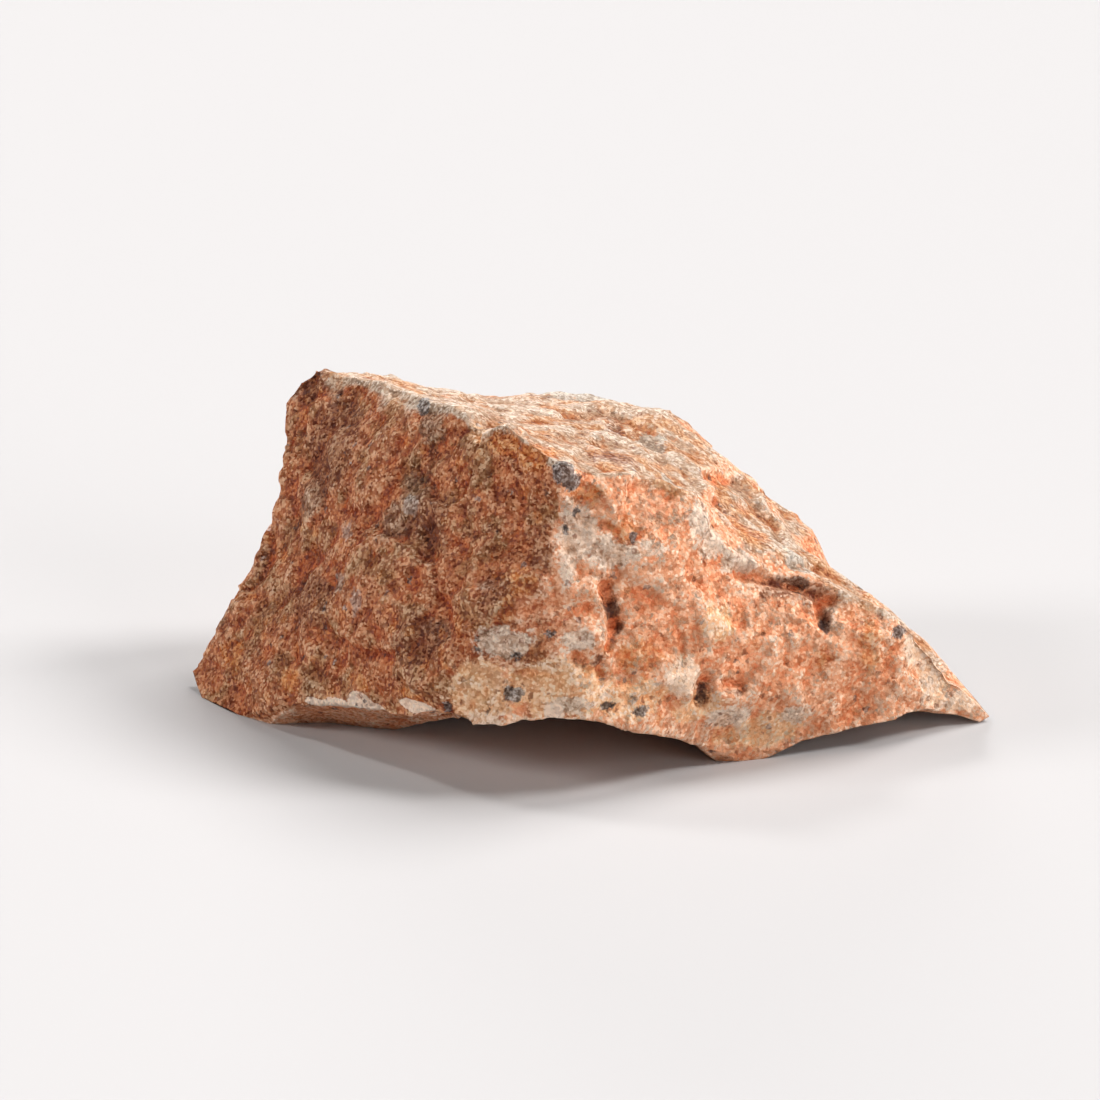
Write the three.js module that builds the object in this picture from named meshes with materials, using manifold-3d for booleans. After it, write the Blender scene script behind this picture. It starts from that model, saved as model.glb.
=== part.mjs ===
// A broken fragment of a lunar meteorite: one solid stone, rust-brown and cream, in millimetres with +Z up.
// X runs along the stone, the blunt end at -X and the thin spur at +X; its two big fresh faces look towards -Y.
// The origin is on the ground, under the middle of the stone. It rests on three small worn feet.
import * as THREE from 'three';
import { ConvexHull } from 'three/addons/math/ConvexHull.js';
import { mergeVertices } from 'three/addons/utils/BufferGeometryUtils.js';
import Module from 'manifold-3d';

// Overall size of the stone
const LENGTH = 24.8;
const DEPTH = 14.8;
const HEIGHT = 10.4;

// How much of each foot is worn flat where it stands, and the height up to which the feet stay smooth
const FOOT_WEAR = 0.18;
const FOOT_HEIGHT = 1.1;

// The point inside the stone from which its whole surface is seen
const HEART = [-0.4, 0, 4.4];

// Longest edge of a triangle on the fresh faces and the top, and on the plainer underside and back
const FACE_STEP = 0.62;
const PLAIN_FACE_STEP = 1.3;
const UNDERSIDE_HEIGHT = 0.9;
const BACK_DEPTH = 4.6;

// The corners where the broken faces meet, edge by edge: x, y, z
const CORNERS = {
  // from the nub at the back left along the top edge of the left face, forward to the brow
  nub: [[-9.0, 5.3, 8.9], [-8.6, 5.2, 9.4], [-7.6, 4.5, 9.4]],
  crest: [[-6.4, 2.7, 9.7], [-5.2, 0.6, 10.0], [-4.0, -1.4, 10.1], [-3.3, -2.6, 9.9], [-2.6, -3.1, 10.4],
    [-1.7, -4.1, 10.2], [-0.8, -5.0, 9.8]],
  // from the brow down the front, where the left and the right face meet
  prow: [[-1.0, -5.6, 8.3], [-1.3, -6.0, 7.1], [-2.3, -6.1, 6.4], [-3.2, -6.4, 5.3], [-4.2, -6.5, 4.2],
    [-4.6, -6.4, 3.1]],
  // from the brow to the right, between the right face and the top
  shoulder: [[0.3, -4.9, 9.0], [1.3, -3.9, 9.1], [2.2, -3.6, 8.8], [3.0, -3.6, 8.1], [3.8, -3.6, 6.9],
    [4.7, -3.3, 6.1], [5.7, -3.0, 5.6], [7.3, -2.2, 4.9], [8.6, -2.0, 4.3], [9.4, -2.0, 3.8], [9.8, -2.1, 3.3]],
  // the far rim of the top, from the nub to the right
  backRim: [[-7.6, 5.7, 9.0], [-5.9, 6.1, 8.5], [-3.7, 6.2, 8.1], [-0.9, 6.7, 8.2], [0.4, 6.6, 8.1],
    [1.4, 6.2, 7.8], [2.6, 6.0, 7.7], [3.5, 5.7, 7.1], [4.6, 5.2, 6.1], [6.1, 4.7, 5.3], [7.2, 4.3, 4.5],
    [7.7, 3.4, 3.5], [8.3, 1.5, 3.6]],
  // down the blunt end, from the nub to the left tip
  leftEnd: [[-9.4, 5.1, 8.2], [-9.5, 4.2, 7.0], [-9.5, 3.4, 5.7], [-10.0, 2.8, 4.2], [-10.8, 2.5, 2.9],
    [-11.7, 2.3, 1.4], [-12.4, 2.2, 0.4]],
  // the lower edge of the left face, from the left tip to the prow
  leftHem: [[-12.0, 1.0, -0.1], [-11.0, -0.3, -0.2], [-9.9, -1.1, -0.2], [-9.0, -2.2, 1.0], [-7.5, -3.7, 1.6],
    [-6.0, -5.1, 1.8], [-4.8, -6.2, 2.3]],
  // the lower edge of the right face, from the prow to the spur, touching the ground at the front foot
  rightHem: [[-3.5, -7.1, 2.2], [-2.6, -7.4, 2.4], [-1.4, -7.3, 2.5], [-0.3, -7.3, 2.4], [1.2, -6.8, 2.0],
    [2.5, -6.0, 1.4], [3.4, -5.1, 0.7], [4.0, -4.3, -0.2], [4.9, -4.3, -0.2], [5.8, -4.1, 0.1], [6.6, -3.9, 0.4],
    [8.0, -3.4, 0.6], [9.1, -3.0, 0.7], [10.0, -2.4, 0.8]],
  // the pale flank and the spur
  spur: [[9.7, -2.4, 2.4], [10.3, -2.3, 1.3], [10.4, -2.2, 0.8], [11.4, -1.5, 0.7], [11.4, -1.4, 0.3],
    [12.1, -1.2, 0.0], [12.4, -1.0, 0.1], [11.8, 0.9, 0.3], [11.0, 2.8, 0.7]],
  // inside the left face
  leftFace: [[-2.7, -4.1, 8.7], [-3.3, -4.6, 7.2], [-4.5, -2.4, 8.3], [-3.7, -5.4, 6.0], [-5.8, -3.0, 6.0],
    [-5.1, -5.0, 4.7], [-7.4, -0.1, 6.2], [-8.0, 2.9, 7.8], [-7.6, -2.1, 4.1], [-6.4, -4.6, 3.0],
    [-9.2, -0.8, 2.6], [-10.9, 0.6, 1.0]],
  // inside the right face
  rightFace: [[1.5, -5.4, 6.9], [3.3, -5.2, 4.9], [5.2, -4.3, 3.9], [7.0, -3.4, 3.5], [3.3, -5.7, 2.8],
    [6.4, -4.1, 1.9], [8.6, -3.0, 2.1], [0.3, -6.7, 4.5], [-2.1, -7.0, 3.6], [-0.9, -7.2, 3.1]],
  // inside the top
  top: [[-0.9, -0.7, 9.4], [1.8, -2.4, 8.8], [1.6, 0.5, 8.7], [4.1, 0.5, 7.0], [6.5, 1.2, 4.9], [-3.4, 2.2, 9.3]],
  // a ledge across the back, and the low edge below it
  backLedge: [[-8.4, 6.2, 5.4], [-6.2, 6.6, 6.4], [-3.2, 7.2, 5.6], [0.6, 7.4, 4.9], [3.6, 6.7, 4.2],
    [5.9, 5.4, 3.2]],
  backHem: [[-10.4, 4.2, 0.6], [-7.6, 5.9, 0.6], [-4.2, 6.7, 0.5], [-0.6, 7.1, 0.6], [2.2, 6.6, 0.4],
    [4.6, 5.9, 0.2], [7.0, 5.1, 0.4], [9.2, 4.0, 0.5]],
  // the hollow underside and the back foot
  underside: [[-9.0, 3.0, 0.6], [-6.6, 2.6, 0.9], [-6.3, -1.5, -0.2], [-8.0, -1.1, -0.1], [-5.0, -3.6, 1.4],
    [-2.8, -4.8, 1.7], [0.2, -4.9, 1.8], [2.2, -3.9, 1.1], [-3.2, 0.2, 1.1], [0.4, -0.8, 1.4], [-1.2, 3.6, 1.1],
    [4.0, -1.6, 0.9], [6.8, -1.4, 0.8], [6.2, 1.6, 0.8], [9.2, -0.8, 0.8], [9.2, 1.6, 0.7]],
  backFoot: [[2.8, 4.6, -0.2], [4.6, 4.2, -0.2], [4.0, 5.2, -0.2]],
};

// Plates that stand proud (rise > 0) or are broken away (rise < 0), with crisp rims: middle, reach, rise
const PLATES = {
  blockUnderCrest: { at: [-6.8, 1.0, 8.2], reach: [1.8, 2.4, 1.9], rise: 0.11 },
  recessBesideBlock: { at: [-4.2, -1.9, 8.7], reach: [1.2, 1.5, 1.3], rise: -0.16 },
  lowerLeftPlate: { at: [-6.2, -3.0, 4.9], reach: [2.4, 2.6, 1.7], rise: 0.17 },
  plateBesideProw: { at: [-3.4, -5.6, 5.4], reach: [1.2, 1.1, 1.0], rise: 0.12 },
  greyScarOnProw: { at: [0.3, -5.5, 7.4], reach: [1.2, 1.1, 1.0], rise: -0.09 },
  flakeScarOnTop: { at: [1.2, 1.8, 8.9], reach: [2.2, 2.4, 1.2], rise: -0.2 },
  secondScarOnTop: { at: [5.2, 1.4, 6.4], reach: [1.9, 2.2, 1.2], rise: -0.2 },
  backScar: { at: [-3.6, 7.0, 4.0], reach: [2.8, 1.6, 1.6], rise: -0.35 },
  backPlate: { at: [2.6, 6.8, 2.8], reach: [2.2, 1.6, 1.3], rise: 0.25 },
  endPlate: { at: [-10.2, 4.0, 3.6], reach: [1.6, 1.8, 1.7], rise: 0.2 },
};
const PLATE_RIM = 0.14;

// Pits, cracks and small lumps, each along a line from one point to another: radius, rise
const MARKS = {
  prowCrack: { from: [0.5, -5.9, 6.1], to: [0.8, -6.1, 5.1], radius: 0.26, rise: -0.36 },
  prowCrackFoot: { from: [0.8, -6.1, 5.1], to: [0.6, -6.6, 4.5], radius: 0.2, rise: -0.24 },
  frontPit: { from: [-0.4, -6.9, 4.3], to: [0.0, -7.0, 3.9], radius: 0.24, rise: -0.2 },
  frontPitRight: { from: [0.3, -6.8, 4.2], to: [0.4, -6.9, 3.7], radius: 0.24, rise: -0.26 },
  creamLump: { from: [2.5, -6.0, 3.4], to: [2.9, -5.7, 3.1], radius: 0.6, rise: 0.26 },
  hollowBesideLump: { from: [3.5, -5.5, 2.9], to: [3.4, -5.4, 2.4], radius: 0.34, rise: -0.26 },
  lowRightPit: { from: [4.2, -5.2, 2.7], to: [4.6, -5.0, 2.5], radius: 0.22, rise: -0.2 },
  shoulderGroove: { from: [4.6, -3.6, 5.8], to: [6.4, -2.7, 5.1], radius: 0.26, rise: -0.24 },
  shoulderGrooveEnd: { from: [6.4, -2.7, 5.1], to: [7.4, -2.6, 4.6], radius: 0.26, rise: -0.3 },
  shoulderCrack: { from: [7.1, -2.8, 4.4], to: [7.2, -3.2, 3.3], radius: 0.22, rise: -0.36 },
  browLump: { from: [-1.0, -4.9, 9.8], to: [-0.7, -4.9, 9.5], radius: 0.4, rise: 0.16 },
  notchInCrest: { from: [-3.5, -2.5, 10.2], to: [-3.1, -1.8, 10.1], radius: 0.4, rise: -0.2 },
};

// Large swells that bend the straight edges, and the broken facets of the faces: cell size, height
const SWELL_SIZE = 3.6;
const SWELL = 0.16;
const RIPPLE_SIZE = 1.4;
const RIPPLE = 0.09;
const FACET_SIZE = 2.3;
const FACET_RISE = 0.2;

// Ledges: the slow wave that they follow, how far it goes up and down, and how high each ledge is
const LEDGE_SIZE = 2.1;
const LEDGE_WAVE = 0.15;
const LEDGE_HEIGHT = 0.085;

// A smaller wave on the slow one: its size and its share; and the part of each ledge that lies flat
const SMALL_WAVE_SIZE = LEDGE_SIZE / 2.7;
const SMALL_WAVE = 0.45;
const LEDGE_FLAT = 0.72;

// The two sizes of noise that make the rims of the plates ragged, and how far each pushes them
const SHAKE_SIZE = 1.2;
const SHAKE = 0.5;
const FINE_SHAKE_SIZE = 0.4;
const FINE_SHAKE = 0.14;

const STONE_COLOUR = 0xb07f5f;

const wasm = await Module();
wasm.setup();

const mix = (a, b, t) => a + (b - a) * t;
const smooth = (t) => t * t * (3 - 2 * t);
const ramp = (low, high, value) => smooth(Math.min(Math.max((value - low) / (high - low), 0), 1));

// A number from 0 to 1 that is fixed for each whole-numbered place
function chance(x, y, z, seed) {
  const wave = Math.sin(x * 127.1 + y * 311.7 + z * 74.7 + seed * 53.3) * 43758.5453;
  return wave - Math.floor(wave);
}

// Smooth noise from -1 to 1: chance at the eight corners of a cell, blended
function noise(point, size, seed) {
  const [x, y, z] = point.map((value) => value / size);
  const [i, j, k] = [x, y, z].map(Math.floor);
  const [u, v, w] = [x - i, y - j, z - k].map(smooth);
  const along = (b, c) => mix(chance(i, j + b, k + c, seed), chance(i + 1, j + b, k + c, seed), u);
  return 2 * mix(mix(along(0, 0), along(1, 0), v), mix(along(0, 1), along(1, 1), v), w) - 1;
}

// Each cell of space holds one seed point with a tilted plane; the surface takes the plane of its nearest seed,
// eased into the next nearest one, so that it breaks into small facets with steps between them
function facets(point, size, seed) {
  const [x, y, z] = point.map((value) => value / size);
  const home = [x, y, z].map(Math.floor);
  let nearest = { distance: 9, height: 0 };
  let next = { distance: 9, height: 0 };
  for (let i = home[0] - 1; i <= home[0] + 1; i++) {
    for (let j = home[1] - 1; j <= home[1] + 1; j++) {
      for (let k = home[2] - 1; k <= home[2] + 1; k++) {
        const away = [0, 1, 2].map((axis) => [x - i, y - j, z - k][axis] - chance(i, j, k, seed + axis));
        const tilt = [3, 4, 5].map((axis) => 2 * chance(i, j, k, seed + axis) - 1);
        const height = tilt[0] * away[0] + tilt[1] * away[1] + tilt[2] * away[2];
        const cell = { distance: Math.hypot(...away), height };
        if (cell.distance < nearest.distance) {
          next = nearest;
          nearest = cell;
        } else if (cell.distance < next.distance) {
          next = cell;
        }
      }
    }
  }
  const share = 0.5 + 0.5 * ramp(0, 0.16, next.distance - nearest.distance);
  return mix(next.height, nearest.height, share);
}

// The flat faces between the corners: the corners are joined up as they are seen from the heart
function brokenFaces() {
  const points = Object.values(CORNERS).flat().map((corner) => new THREE.Vector3(...corner));
  const heart = new THREE.Vector3(...HEART);
  const sightlines = points.map((point) => point.clone().sub(heart).normalize());
  const hull = new ConvexHull().setFromPoints(sightlines);
  const triangles = hull.faces.map(({ edge }) => [edge.prev, edge, edge.next]
    .map((side) => sightlines.indexOf(side.head().point)));
  return { points, triangles };
}

// Splits every edge that is too long for its place in the middle, again and again, until none is left
function refine({ points, triangles }) {
  const middles = new Map();
  const middle = (a, b) => {
    const key = a < b ? `${a} ${b}` : `${b} ${a}`;
    if (!middles.has(key)) {
      const halfway = points[a].clone().lerp(points[b], 0.5);
      const isPlain = halfway.z < UNDERSIDE_HEIGHT || halfway.y > BACK_DEPTH;
      const isLong = points[a].distanceTo(points[b]) > (isPlain ? PLAIN_FACE_STEP : FACE_STEP);
      middles.set(key, isLong ? points.push(halfway) - 1 : null);
    }
    return middles.get(key);
  };
  const finer = triangles.flatMap((triangle) => splitTriangle(triangle, middle));
  return finer.length > triangles.length ? refine({ points, triangles: finer }) : { points, triangles };
}

// One triangle as one, two, three or four, by which of its edges have a middle
function splitTriangle([a, b, c], middle) {
  const [ab, bc, ca] = [middle(a, b), middle(b, c), middle(c, a)];
  const count = [ab, bc, ca].filter((value) => value !== null).length;
  if (count === 0) return [[a, b, c]];
  if (count === 3) return [[a, ab, ca], [ab, b, bc], [ca, bc, c], [ab, bc, ca]];
  if (count === 1) {
    if (ab !== null) return [[a, ab, c], [ab, b, c]];
    if (bc !== null) return [[b, bc, a], [bc, c, a]];
    return [[c, ca, b], [ca, a, b]];
  }
  if (ab === null) return [[c, ca, bc], [ca, a, b], [ca, b, bc]];
  if (bc === null) return [[a, ab, ca], [ab, b, c], [ab, c, ca]];
  return [[b, bc, ab], [bc, c, a], [bc, a, ab]];
}

// A point pushed about by two sizes of noise, which makes what is measured from it ragged
const shaken = (point) => point.map((value, axis) => value
  + SHAKE * noise(point, SHAKE_SIZE, 40 + axis) + FINE_SHAKE * noise(point, FINE_SHAKE_SIZE, 44 + axis));

// How far a plate, a mark or the ledges lift the surface at a point
function plateRise(ragged, { at, reach, rise }) {
  const away = Math.hypot(...ragged.map((value, axis) => (value - at[axis]) / reach[axis]));
  const meanReach = (reach[0] + reach[1] + reach[2]) / 3;
  return rise * ramp(0, PLATE_RIM, (1 - away) * meanReach);
}

function ledgeRise(point) {
  const wave = noise(point, LEDGE_SIZE, 70) + SMALL_WAVE * noise(point, SMALL_WAVE_SIZE, 71);
  const levels = (wave * LEDGE_WAVE) / LEDGE_HEIGHT;
  return LEDGE_HEIGHT * (Math.floor(levels) + ramp(LEDGE_FLAT, 1, levels - Math.floor(levels)));
}

function markRise(point, mark) {
  const start = new THREE.Vector3(...mark.from);
  const line = new THREE.Line3(start, new THREE.Vector3(...mark.to));
  const here = new THREE.Vector3(...point);
  const closest = line.closestPointToPoint(here, true, new THREE.Vector3());
  return mark.rise * Math.exp(-((closest.distanceTo(here) / mark.radius) ** 3));
}

// Moves every point to where the given function of the point and its outward normal says
function reshape(shell, move) {
  shell.computeVertexNormals();
  const places = shell.getAttribute('position');
  const normals = shell.getAttribute('normal');
  for (let index = 0; index < places.count; index++) {
    const point = new THREE.Vector3().fromBufferAttribute(places, index).toArray();
    const normal = new THREE.Vector3().fromBufferAttribute(normals, index).toArray();
    places.setXYZ(index, ...move(point, normal));
  }
}

// Swells and ripples bend the straight edges, less so near the ground
const freedom = (point) => mix(0.1, 1, ramp(0, FOOT_HEIGHT, point[2]));

function bend(point) {
  return point.map((value, axis) => value + freedom(point)
    * (SWELL * noise(point, SWELL_SIZE, 10 + axis) + RIPPLE * noise(point, RIPPLE_SIZE, 20 + axis)));
}

// Facets, ledges, plates and marks lift or sink the surface along its normal
function carve(point, normal) {
  let rise = FACET_RISE * facets(point, FACET_SIZE, 30) + ledgeRise(point);
  const ragged = shaken(point);
  for (const plate of Object.values(PLATES)) rise += plateRise(ragged, plate);
  for (const mark of Object.values(MARKS)) rise += markRise(point, mark);
  return point.map((value, axis) => value + freedom(point) * rise * normal[axis]);
}

// The stone before its feet are worn
function roughStone() {
  const { points, triangles } = refine(brokenFaces());
  const shell = new THREE.BufferGeometry().setFromPoints(points);
  shell.setIndex(triangles.flat());
  reshape(shell, bend);
  reshape(shell, carve);
  fitToSize(shell);
  return shell;
}

// Carries the stone onto its overall size, with the feet FOOT_WEAR below the ground
function fitToSize(shell) {
  shell.computeBoundingBox();
  const { min, max } = shell.boundingBox;
  shell.translate(-(min.x + max.x) / 2, -(min.y + max.y) / 2, -max.z);
  shell.scale(LENGTH / (max.x - min.x), DEPTH / (max.y - min.y), (HEIGHT + FOOT_WEAR) / (max.z - min.z));
  shell.translate(0, 0, HEIGHT);
}

function toManifold(geometry) {
  const vertProperties = new Float32Array(geometry.getAttribute('position').array);
  const triVerts = new Uint32Array(geometry.index.array);
  return new wasm.Manifold(new wasm.Mesh({ numProp: 3, vertProperties, triVerts }));
}

function toGeometry(solid) {
  const { vertProperties, triVerts } = solid.getMesh();
  const geometry = new THREE.BufferGeometry();
  geometry.setAttribute('position', new THREE.BufferAttribute(vertProperties, 3));
  geometry.setIndex(new THREE.BufferAttribute(triVerts, 1));
  geometry.computeVertexNormals();
  return geometry;
}

// Everything below the ground is worn away, which leaves a small flat on each foot
function wornStone(shell) {
  const ground = new THREE.BoxGeometry(2 * LENGTH, 2 * DEPTH, HEIGHT).translate(0, 0, -HEIGHT / 2);
  ground.deleteAttribute('normal');
  ground.deleteAttribute('uv');
  return toGeometry(toManifold(shell).subtract(toManifold(mergeVertices(ground, 1e-5))));
}

const stone = new THREE.Mesh(
  wornStone(roughStone()),
  new THREE.MeshStandardMaterial({ color: STONE_COLOUR, roughness: 0.92, metalness: 0, flatShading: true }),
);
stone.name = 'stone';

const meteorite = new THREE.Group();
meteorite.name = 'lunar_meteorite';
meteorite.add(stone);

export default meteorite;
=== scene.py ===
import itertools
import math

import bmesh
import bpy
import numpy as np
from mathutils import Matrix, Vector


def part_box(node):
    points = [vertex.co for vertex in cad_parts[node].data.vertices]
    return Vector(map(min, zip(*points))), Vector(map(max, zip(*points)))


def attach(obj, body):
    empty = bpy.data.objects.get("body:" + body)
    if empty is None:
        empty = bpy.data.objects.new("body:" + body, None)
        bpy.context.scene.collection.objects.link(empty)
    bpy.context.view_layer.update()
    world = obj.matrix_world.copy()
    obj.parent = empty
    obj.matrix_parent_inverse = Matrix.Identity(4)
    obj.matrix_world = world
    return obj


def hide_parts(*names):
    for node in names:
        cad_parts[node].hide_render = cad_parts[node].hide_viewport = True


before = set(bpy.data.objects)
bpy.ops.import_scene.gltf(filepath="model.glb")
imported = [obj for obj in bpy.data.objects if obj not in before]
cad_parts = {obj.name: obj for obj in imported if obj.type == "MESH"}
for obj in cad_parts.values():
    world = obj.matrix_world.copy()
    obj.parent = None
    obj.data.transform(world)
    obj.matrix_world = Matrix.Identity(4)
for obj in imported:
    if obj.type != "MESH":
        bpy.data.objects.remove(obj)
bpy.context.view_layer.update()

# The stone
# One broken fragment of lunar breccia, in rust-brown and salmon rock with paler and darker grains.
# Every face is a fresh break with facets, ledges and pits, apart from the three small feet that are worn flat.
# All places and sizes of the stone below are in millimetres, in the frame that it rests in.
MM = 0.001

# The point inside that every corner is seen from, and how many steps each broken face is cut into
HEART = np.array([-0.4, 0.0, 4.4])
FACE_STEPS = 26

# How deep the feet are worn, up to what height the stone moves less, and how much of its way it moves there
FOOT_WEAR = 0.18
FOOT_HEIGHT = 1.1
FOOT_FREEDOM = 0.1

# How many times values are eased over the mesh: for the way a point is carved, for the small hollows, and for
# the way that a whole face is turned
CARVING_EASE, HOLLOW_EASE, TURN_EASE = 12, 10, 24

# The corners where the broken faces meet, edge by edge
CORNERS = {
    # from the nub at the back left along the top edge of the left face, forward to the brow
    "nub": [(-9.0, 5.3, 8.9), (-8.6, 5.2, 9.4), (-7.6, 4.5, 9.4)],
    "crest": [(-6.4, 2.7, 9.7), (-5.2, 0.6, 10.0), (-4.0, -1.4, 10.1), (-3.3, -2.6, 9.9), (-2.6, -3.1, 10.4),
              (-1.7, -4.1, 10.2), (-0.8, -5.0, 9.8)],
    # from the brow down the front, where the left and the right face meet
    "prow": [(-1.0, -5.6, 8.3), (-1.3, -6.0, 7.1), (-2.3, -6.1, 6.4), (-3.2, -6.4, 5.3), (-4.2, -6.5, 4.2),
             (-4.6, -6.4, 3.1)],
    # from the brow to the right, between the right face and the top
    "shoulder": [(0.3, -4.9, 9.0), (1.3, -3.9, 9.1), (2.2, -3.6, 8.8), (3.0, -3.6, 8.1), (3.8, -3.6, 6.9),
                 (4.7, -3.3, 6.1), (5.7, -3.0, 5.6), (7.3, -2.2, 4.9), (8.6, -2.0, 4.3), (9.4, -2.0, 3.8),
                 (9.8, -2.1, 3.3)],
    # the far rim of the top, from the nub to the right
    "back_rim": [(-7.6, 5.7, 9.0), (-5.9, 6.1, 8.5), (-3.7, 6.2, 8.1), (-0.9, 6.7, 8.2), (0.4, 6.6, 8.1),
                 (1.4, 6.2, 7.8), (2.6, 6.0, 7.7), (3.5, 5.7, 7.1), (4.6, 5.2, 6.1), (6.1, 4.7, 5.3),
                 (7.2, 4.3, 4.5), (7.7, 3.4, 3.5), (8.3, 1.5, 3.6)],
    # down the blunt end, from the nub to the left tip
    "left_end": [(-9.4, 5.1, 8.2), (-9.5, 4.2, 7.0), (-9.5, 3.4, 5.7), (-10.0, 2.8, 4.2), (-10.8, 2.5, 2.9),
                 (-11.7, 2.3, 1.4), (-12.4, 2.2, 0.4)],
    # the lower edge of the left face, from the left tip to the prow
    "left_hem": [(-12.0, 1.0, -0.1), (-11.0, -0.3, -0.2), (-9.9, -1.1, -0.2), (-9.0, -2.2, 1.0),
                 (-7.5, -3.7, 1.6), (-6.0, -5.1, 1.8), (-4.8, -6.2, 2.3)],
    # the lower edge of the right face, from the prow to the spur, touching the ground at the front foot
    "right_hem": [(-3.5, -7.1, 2.2), (-2.6, -7.4, 2.4), (-1.4, -7.3, 2.5), (-0.3, -7.3, 2.4), (1.2, -6.8, 2.0),
                  (2.5, -6.0, 1.4), (3.4, -5.1, 0.7), (4.0, -4.3, -0.2), (4.9, -4.3, -0.2), (5.8, -4.1, 0.1),
                  (6.6, -3.9, 0.4), (8.0, -3.4, 0.6), (9.1, -3.0, 0.7), (10.0, -2.4, 0.8)],
    # the pale flank and the spur
    "spur": [(9.7, -2.4, 2.4), (10.3, -2.3, 1.3), (10.4, -2.2, 0.8), (11.4, -1.5, 0.7), (11.4, -1.4, 0.3),
             (12.1, -1.2, 0.0), (12.4, -1.0, 0.1), (11.8, 0.9, 0.3), (11.0, 2.8, 0.7)],
    # inside the left face
    "left_face": [(-2.7, -4.1, 8.7), (-3.3, -4.6, 7.2), (-4.5, -2.4, 8.3), (-3.7, -5.4, 6.0), (-5.8, -3.0, 6.0),
                  (-5.1, -5.0, 4.7), (-7.4, -0.1, 6.2), (-8.0, 2.9, 7.8), (-7.6, -2.1, 4.1), (-6.4, -4.6, 3.0),
                  (-9.2, -0.8, 2.6), (-10.9, 0.6, 1.0)],
    # inside the right face
    "right_face": [(1.5, -5.4, 6.9), (3.3, -5.2, 4.9), (5.2, -4.3, 3.9), (7.0, -3.4, 3.5), (3.3, -5.7, 2.8),
                   (6.4, -4.1, 1.9), (8.6, -3.0, 2.1), (0.3, -6.7, 4.5), (-2.1, -7.0, 3.6), (-0.9, -7.2, 3.1)],
    # inside the top
    "top": [(-0.9, -0.7, 9.4), (1.8, -2.4, 8.8), (1.6, 0.5, 8.7), (4.1, 0.5, 7.0), (6.5, 1.2, 4.9),
            (-3.4, 2.2, 9.3)],
    # a ledge across the back, and the low edge below it
    "back_ledge": [(-8.4, 6.2, 5.4), (-6.2, 6.6, 6.4), (-3.2, 7.2, 5.6), (0.6, 7.4, 4.9), (3.6, 6.7, 4.2),
                   (5.9, 5.4, 3.2)],
    "back_hem": [(-10.4, 4.2, 0.6), (-7.6, 5.9, 0.6), (-4.2, 6.7, 0.5), (-0.6, 7.1, 0.6), (2.2, 6.6, 0.4),
                 (4.6, 5.9, 0.2), (7.0, 5.1, 0.4), (9.2, 4.0, 0.5)],
    # the hollow underside and the back foot
    "underside": [(-9.0, 3.0, 0.6), (-6.6, 2.6, 0.9), (-6.3, -1.5, -0.2), (-8.0, -1.1, -0.1), (-5.0, -3.6, 1.4),
                  (-2.8, -4.8, 1.7), (0.2, -4.9, 1.8), (2.2, -3.9, 1.1), (-3.2, 0.2, 1.1), (0.4, -0.8, 1.4),
                  (-1.2, 3.6, 1.1), (4.0, -1.6, 0.9), (6.8, -1.4, 0.8), (6.2, 1.6, 0.8), (9.2, -0.8, 0.8),
                  (9.2, 1.6, 0.7)],
    "back_foot": [(2.8, 4.6, -0.2), (4.6, 4.2, -0.2), (4.0, 5.2, -0.2)],
}

# Plates that stand proud (rise above 0) or are broken away (below 0), with crisp rims: middle, reach, rise
PLATES = {
    "block_under_crest": ((-6.8, 1.0, 8.2), (1.8, 2.4, 1.9), 0.11),
    "recess_beside_block": ((-4.2, -1.9, 8.7), (1.2, 1.5, 1.3), -0.16),
    "lower_left_plate": ((-6.2, -3.0, 4.9), (2.4, 2.6, 1.7), 0.17),
    "plate_beside_prow": ((-3.4, -5.6, 5.4), (1.2, 1.1, 1.0), 0.12),
    "grey_scar_on_prow": ((0.3, -5.5, 7.4), (1.2, 1.1, 1.0), -0.09),
    "flake_scar_on_top": ((1.2, 1.8, 8.9), (2.2, 2.4, 1.2), -0.2),
    "second_scar_on_top": ((5.2, 1.4, 6.4), (1.9, 2.2, 1.2), -0.2),
    "back_scar": ((-3.6, 7.0, 4.0), (2.8, 1.6, 1.6), -0.35),
    "back_plate": ((2.6, 6.8, 2.8), (2.2, 1.6, 1.3), 0.25),
    "end_plate": ((-10.2, 4.0, 3.6), (1.6, 1.8, 1.7), 0.2),
}
PLATE_RIM = 0.14

# Pits, cracks and small lumps, each along a line: from, to, radius, rise
MARKS = {
    "prow_crack": ((0.5, -5.9, 6.1), (0.8, -6.1, 5.1), 0.26, -0.36),
    "prow_crack_foot": ((0.8, -6.1, 5.1), (0.6, -6.6, 4.5), 0.2, -0.24),
    "front_pit": ((-0.4, -6.9, 4.3), (0.0, -7.0, 3.9), 0.24, -0.2),
    "front_pit_right": ((0.3, -6.8, 4.2), (0.4, -6.9, 3.7), 0.24, -0.26),
    "cream_lump": ((2.5, -6.0, 3.4), (2.9, -5.7, 3.1), 0.6, 0.26),
    "hollow_beside_lump": ((3.5, -5.5, 2.9), (3.4, -5.4, 2.4), 0.34, -0.26),
    "low_right_pit": ((4.2, -5.2, 2.7), (4.6, -5.0, 2.5), 0.22, -0.2),
    "shoulder_groove": ((4.6, -3.6, 5.8), (6.4, -2.7, 5.1), 0.26, -0.24),
    "shoulder_groove_end": ((6.4, -2.7, 5.1), (7.4, -2.6, 4.6), 0.26, -0.3),
    "shoulder_crack": ((7.1, -2.8, 4.4), (7.2, -3.2, 3.3), 0.22, -0.36),
    "brow_lump": ((-1.0, -4.9, 9.8), (-0.7, -4.9, 9.5), 0.4, 0.16),
    "notch_in_crest": ((-3.5, -2.5, 10.2), (-3.1, -1.8, 10.1), 0.4, -0.2),
}

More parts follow.
